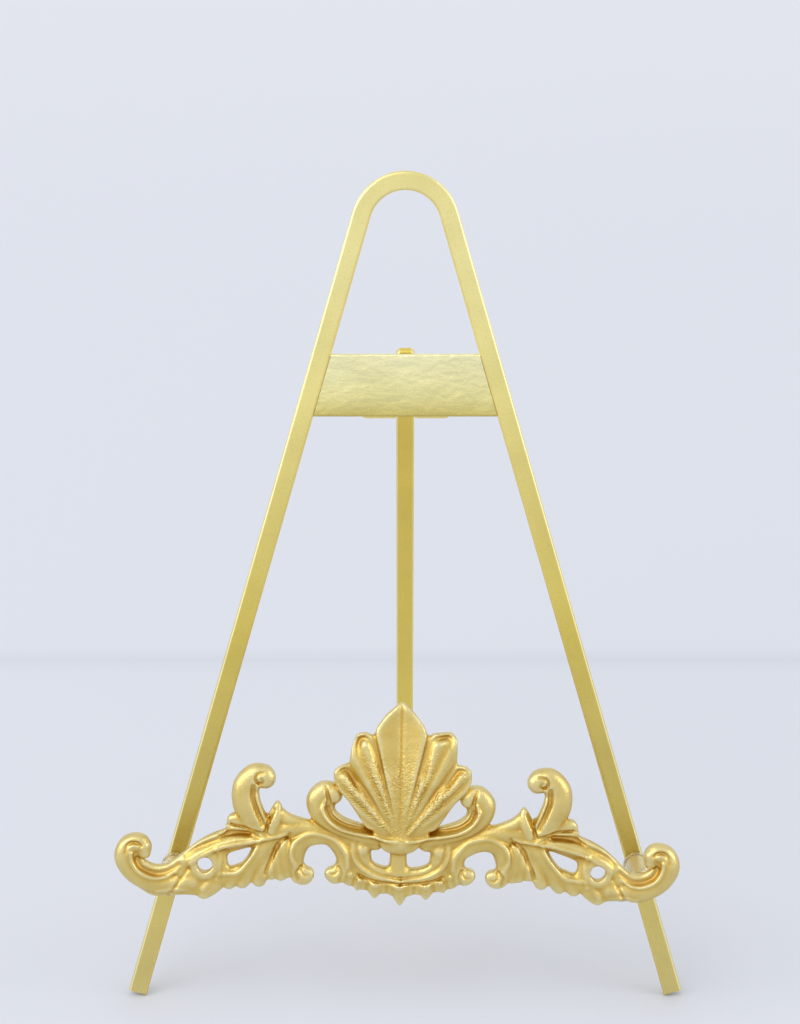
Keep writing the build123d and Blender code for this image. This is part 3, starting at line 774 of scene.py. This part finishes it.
def ramp(nodes, links, value, stops):
    """Colour ramp from (place, colour) stops in rising order."""
    node = nodes.new("ShaderNodeValToRGB")
    bands = node.color_ramp.elements
    bands[0].position = stops[0][0]
    bands[1].position = stops[-1][0]
    for place, _ in stops[1:-1]:
        bands.new(place)
    for band, (_, colour) in zip(bands, stops):
        band.color = (*colour, 1)
    links.new(value, node.inputs["Fac"])
    return node.outputs["Color"]


def bump(nodes, links, height, strength, distance, under=None):
    node = nodes.new("ShaderNodeBump")
    node.inputs["Strength"].default_value = strength
    node.inputs["Distance"].default_value = distance
    links.new(height, node.inputs["Height"])
    if under:
        links.new(under, node.inputs["Normal"])
    return node.outputs["Normal"]


def calculate(nodes, links, operation, *values):
    node = nodes.new("ShaderNodeMath")
    node.operation = operation
    for socket, value in zip(node.inputs, values):
        links.new(value, socket)
    return node.outputs["Value"]


def painted_edge_light(nodes, links, colour):
    """Painted highlight: paler colour on a bar's outward edges, and a warmer painted reflection on its
    inward ones.
    """
    facing = nodes.new("ShaderNodeSeparateXYZ")
    links.new(nodes.new("ShaderNodeNewGeometry").outputs["Normal"], facing.inputs["Vector"])
    place = nodes.new("ShaderNodeSeparateXYZ")
    links.new(nodes.new("ShaderNodeTexCoord").outputs["Object"], place.inputs["Vector"])
    half = calculate(nodes, links, "SIGN", place.outputs["X"])
    outward = calculate(nodes, links, "MULTIPLY", facing.outputs["X"], half)
    outward = span(nodes, links, outward, -1, 1, 0, 1)
    # outward edges get a pale painted highlight, inward edges a warm painted reflection
    for edge, share, painted_light_tint in (((0.58, 0.68, 0.84, 0.93), 0.5, (0.98, 0.92, 0.58)),
                              ((0.07, 0.16, 0.32, 0.42), 0.6, (0.90, 0.66, 0.20))):
        edge_light_mask = ramp(nodes, links, outward, [(edge[0], (0.0, 0.0, 0.0)), (edge[1], (share, share, share)),
                                            (edge[2], (share, share, share)), (edge[3], (0.0, 0.0, 0.0))])
        colour = mix(nodes, links, "MIX", edge_light_mask, colour, painted_light_tint)
    return colour


def satin_gold(name, low, high, stops, roughness=0.4, pebble=0.0):
    """Lacquered gold on bar or plate, with light and shade painted in by height, and a fine dull grain."""
    shader, nodes, links, material = new_material(name)
    coords = nodes.new("ShaderNodeTexCoord").outputs["Object"]
    split = nodes.new("ShaderNodeSeparateXYZ")
    links.new(coords, split.inputs["Vector"])
    # the height ramp is painted light: its stops lighten and darken each piece by height, as the light
    # falls on it
    height = span(nodes, links, split.outputs["Z"], low, high, 0, 1)
    painted_light_tint = ramp(nodes, links, height, stops)
    cloud = noise(nodes, links, 60, 3)
    grain = noise(nodes, links, 2600, 3)
    mottle = ramp(nodes, links, cloud, [(0.3, (0.93, 0.92, 0.88)), (0.7, (1.0, 1.0, 1.0))])
    colour = mix(nodes, links, "MULTIPLY", 1.0, painted_light_tint, mottle)
    specks = ramp(nodes, links, grain, [(0.32, (0.86, 0.84, 0.78)), (0.5, (1.0, 1.0, 1.0))])
    colour = mix(nodes, links, "MULTIPLY", 0.6, colour, specks)
    colour = painted_edge_light(nodes, links, colour)
    links.new(colour, shader.inputs["Base Color"])
    links.new(span(nodes, links, cloud, 0.3, 0.7, roughness - 0.05, roughness + 0.06),
              shader.inputs["Roughness"])
    shader.inputs["Metallic"].default_value = 1.0
    surface = bump(nodes, links, grain, 0.35, 0.00006)
    if pebble:
        rolled = (0.55, 1.0, 1.0)
        surface = bump(nodes, links, noise(nodes, links, 700, 3, rolled), pebble, 0.00035, surface)
        surface = bump(nodes, links, noise(nodes, links, 200, 1, rolled), pebble, 0.0007, surface)
    links.new(surface, shader.inputs["Normal"])
    return material


def cast_gold():
    """Bright gold over cast metal, with light painted in: a paler painted highlight on crests and darker,
    redder painted shade in recesses.
    """
    shader, nodes, links, material = new_material("cast_gold_look")
    crest_for_painted_light = nodes.new("ShaderNodeAttribute")
    crest_for_painted_light.attribute_name = "crest"
    # painted shade in recesses and painted highlight on crests, set by the crest value
    painted_light_tint = ramp(nodes, links, crest_for_painted_light.outputs["Fac"],
                [(0.0, (0.62, 0.39, 0.10)), (0.34, (0.69, 0.49, 0.135)), (0.56, (0.72, 0.555, 0.185)),
                 (0.85, (0.80, 0.68, 0.33))])
    cloud = noise(nodes, links, 170, 3)
    grain = noise(nodes, links, 1500, 3)
    mottle = ramp(nodes, links, cloud, [(0.32, (0.90, 0.85, 0.72)), (0.68, (1.0, 1.0, 1.0))])
    colour = mix(nodes, links, "MULTIPLY", 0.8, painted_light_tint, mottle)
    links.new(colour, shader.inputs["Base Color"])
    links.new(span(nodes, links, cloud, 0.3, 0.7, 0.29, 0.42), shader.inputs["Roughness"])
    shader.inputs["Metallic"].default_value = 1.0
    stipple = nodes.new("ShaderNodeAttribute")
    stipple.attribute_name = "stipple"
    dots = calculate(nodes, links, "MULTIPLY", noise(nodes, links, 1700, 2), stipple.outputs["Fac"])
    surface = bump(nodes, links, grain, 0.22, 0.00012)
    surface = bump(nodes, links, dots, 1.0, 0.0008, surface)
    surface = bump(nodes, links, noise(nodes, links, 520, 2), 0.35, 0.00022, surface)
    links.new(surface, shader.inputs["Normal"])
    return material


def vinyl():
    """Slightly hazy clear tube that lets the gold through and bends it very little."""
    shader, nodes, links, material = new_material("clear_vinyl_look")
    haze = noise(nodes, links, 300, 2)
    links.new(ramp(nodes, links, haze, [(0.3, (0.94, 0.87, 0.56)), (0.7, (0.97, 0.92, 0.70))]),
              shader.inputs["Base Color"])
    links.new(span(nodes, links, haze, 0.3, 0.7, 0.16, 0.24), shader.inputs["Roughness"])
    shader.inputs["Transmission Weight"].default_value = 0.84
    shader.inputs["IOR"].default_value = 1.06
    return material


def frame_looks():
    """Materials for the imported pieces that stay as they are, then the sleeves and welds."""
    # Front frame: painted light by height, darker just above the casting and a paler painted reflection
    # towards the arch.
    bar = satin_gold("satin_gold_front", 0.0, 0.262,
                     [(0.0, (0.69, 0.58, 0.22)), (0.22, (0.73, 0.59, 0.17)), (0.3, (0.66, 0.535, 0.155)),
                      (0.45, (0.73, 0.59, 0.14)), (0.75, (0.90, 0.79, 0.31)), (0.9, (0.93, 0.84, 0.38)),
                      (1.0, (0.90, 0.80, 0.34))])
    # Rear leg, hinge knuckle and knuckle welds: the same lacquer in a more saturated copy, a painted
    # reflection of the floor below them.
    leg = satin_gold("satin_gold_rear_painted_reflection", 0.0, 0.2, [(0.0, (0.90, 0.71, 0.17)), (1.0, (0.89, 0.70, 0.16))])
    # Back plate: painted shade along its lower edge, rising to a painted highlight along its top edge.
    plate = satin_gold("pebbled_gold", 0.186, 0.2062,
                       [(0.0, (0.66, 0.53, 0.15)), (0.10, (0.78, 0.67, 0.24)), (0.3, (0.88, 0.80, 0.36)),
                        (0.6, (0.94, 0.88, 0.46)), (1.0, (0.98, 0.93, 0.56))], roughness=0.3, pebble=0.9)
    # Arm weld rings: dark brown bands at set heights across the rings.
    brown_bands = satin_gold("weld_brown_bands", 0.0425, 0.0475,
                      [(0.0, (0.72, 0.58, 0.20)), (0.3, (0.60, 0.44, 0.15)), (0.55, (0.36, 0.21, 0.07)),
                       (0.72, (0.70, 0.56, 0.20)), (0.86, (0.34, 0.20, 0.06)), (1.0, (0.70, 0.56, 0.22))],
                      roughness=0.5)
    looks = {"front_frame": bar, "back_plate": plate, "rear_leg": leg, "hinge_knuckle": leg}
    for sub in frame["record"]["subparts"]:
        obj = bpy.data.objects.get(sub["node"])
        if obj and sub["node"] != "ornament_casting":
            obj.data.materials.clear()
            obj.data.materials.append(looks.get(sub["node"], bar))
    sleeves_and_welds(vinyl(), brown_bands, leg)


CREST_ROUNDS = (10, 60)       # rounds of averaging that make the fine and the broad surroundings
CREST_GAINS = (2200, 450)


def crest_attribute(obj):
    """Store how far each point stands out from its surroundings, 0 in a recess and 1 on a crest."""
    mesh = obj.data
    count = len(mesh.vertices)
    points = np.empty(count * 3)
    mesh.vertices.foreach_get("co", points)
    points = points.reshape(-1, 3)
    edges = np.empty(len(mesh.edges) * 2, np.int64)
    mesh.edges.foreach_get("vertices", edges)
    a, b = edges.reshape(-1, 2).T
    degree = np.bincount(a, minlength=count) + np.bincount(b, minlength=count)
    normals = np.empty(count * 3)
    mesh.vertices.foreach_get("normal", normals)
    normals = normals.reshape(-1, 3)

    def averaged(values, rounds):
        for _ in range(rounds):
            total = np.zeros_like(values)
            np.add.at(total, a, values[b])
            np.add.at(total, b, values[a])
            values = 0.5 * values + 0.5 * total / np.maximum(degree, 1)[:, None]
        return values

    value = 0.5
    for rounds, gain in zip(CREST_ROUNDS, CREST_GAINS):
        value = value + gain * np.einsum("ij,ij->i", points - averaged(points, rounds), normals)
    value = averaged(value[:, None], 2)[:, 0]
    layer = mesh.attributes.new("crest", "FLOAT", "POINT")
    layer.data.foreach_set("value", np.clip(value, 0, 1).astype(np.float32))


# ---------------------------------------------------------------- stage, light, camera
FLOOR_REACH = 6.0
FLOOR_SEAM = 0.208        # far edge of the table sheet, seen only as a soft line
SEAM_SPAN = 1.6           # the floor's tones are laid out this far before and after the seam
FLOOR_NEAR = (0.64, 0.655, 0.705)
# painted shadow along the seam
FLOOR_SEAM_SHADE = (0.60, 0.62, 0.67)
FLOOR_SEAM_FAR = (0.65, 0.665, 0.715)
# painted brightening further out, standing in for light that falls off with distance
FLOOR_MIDDLE = (0.70, 0.715, 0.765)
FLOOR_FAR = (0.80, 0.81, 0.86)


def floor_paint():
    """Pale sheet with a faint painted shadow line along a soft seam, a little lighter beyond it, and
    painted brighter still further out, where the lamps' light falls off.
    """
    shader, nodes, links, material = new_material("floor_paint")
    split = nodes.new("ShaderNodeSeparateXYZ")
    links.new(nodes.new("ShaderNodeTexCoord").outputs["Object"], split.inputs["Vector"])
    depth = span(nodes, links, split.outputs["Y"], FLOOR_SEAM - SEAM_SPAN, FLOOR_SEAM + SEAM_SPAN, 0, 1)
    tone = ramp(nodes, links, depth,
                [(0.0, FLOOR_NEAR), (0.496, FLOOR_NEAR), (0.5, FLOOR_SEAM_SHADE), (0.504, FLOOR_SEAM_FAR),
                 (0.65, FLOOR_MIDDLE), (0.9, FLOOR_FAR)])
    links.new(tone, shader.inputs["Base Color"])
    shader.inputs["Roughness"].default_value = 0.6
    shader.inputs["Specular IOR Level"].default_value = 0.2
    return material


def stage():
    corners = [(FLOOR_REACH * x, FLOOR_REACH * y, 0) for x, y in ((-1, -1), (1, -1), (1, 1), (-1, 1))]
    floor = mesh_object("floor", corners, [(0, 1, 2, 3)], smooth=False)
    floor.data.materials.append(floor_paint())


def area_light(name, place, target, size, power):
    data = bpy.data.lights.new(name, "AREA")
    data.shape = "SQUARE"
    data.size = size
    data.energy = power
    obj = bpy.data.objects.new(name, data)
    bpy.context.scene.collection.objects.link(obj)
    obj.location = place
    aim = Vector(target) - Vector(place)
    obj.rotation_euler = aim.to_track_quat("-Z", "Y").to_euler()
    obj.visible_camera = False


def light():
    """Pale room, brightest just above the horizon and darker below it, and three softboxes."""
    world = bpy.data.worlds.new("studio")
    bpy.context.scene.world = world
    world.use_nodes = True
    nodes, links = world.node_tree.nodes, world.node_tree.links
    split = nodes.new("ShaderNodeSeparateXYZ")
    links.new(nodes.new("ShaderNodeTexCoord").outputs["Generated"], split.inputs["Vector"])
    share = span(nodes, links, split.outputs["Z"], -1, 1, 0, 1)
    room = ramp(nodes, links, share,
                [(0.0, (0.70, 0.72, 0.78)), (0.49, (0.74, 0.76, 0.82)), (0.54, (0.88, 0.90, 0.94)),
                 (0.60, (0.96, 0.97, 1.0)), (0.75, (0.80, 0.82, 0.86)), (1.0, (0.92, 0.94, 0.97))])
    background = nodes["Background"]
    links.new(room, background.inputs["Color"])
    background.inputs["Strength"].default_value = 1.0
    area_light("key", place=(-0.7, -0.8, 1.3), target=(0, 0, 0.1), size=1.1, power=5.2)
    area_light("side_left", place=(-1.7, -0.5, 1.0), target=(0, 0, 0.12), size=1.0, power=7.0)
    area_light("side_right", place=(1.7, -0.5, 1.0), target=(0, 0, 0.12), size=1.0, power=7.0)
    bpy.context.scene.view_settings.view_transform = "Standard"


CAMERA_AT = (-0.0017, -0.9065, 0.5154)
CAMERA_TILT = math.radians(68)    # up from looking straight down
CAMERA_LENS = 135


def camera():
    data = bpy.data.cameras.new("camera")
    data.sensor_fit = "HORIZONTAL"
    data.sensor_width = 36
    data.lens = CAMERA_LENS
    obj = bpy.data.objects.new("camera", data)
    bpy.context.scene.collection.objects.link(obj)
    obj.location = CAMERA_AT
    obj.rotation_euler = (CAMERA_TILT, 0, 0)
    bpy.context.scene.camera = obj


camera()
stage()
light()
frame_looks()
relief_object = casting()
crest_attribute(relief_object)
relief_object.data.materials.append(cast_gold())
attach(relief_object, "stand")
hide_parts("ornament_casting")
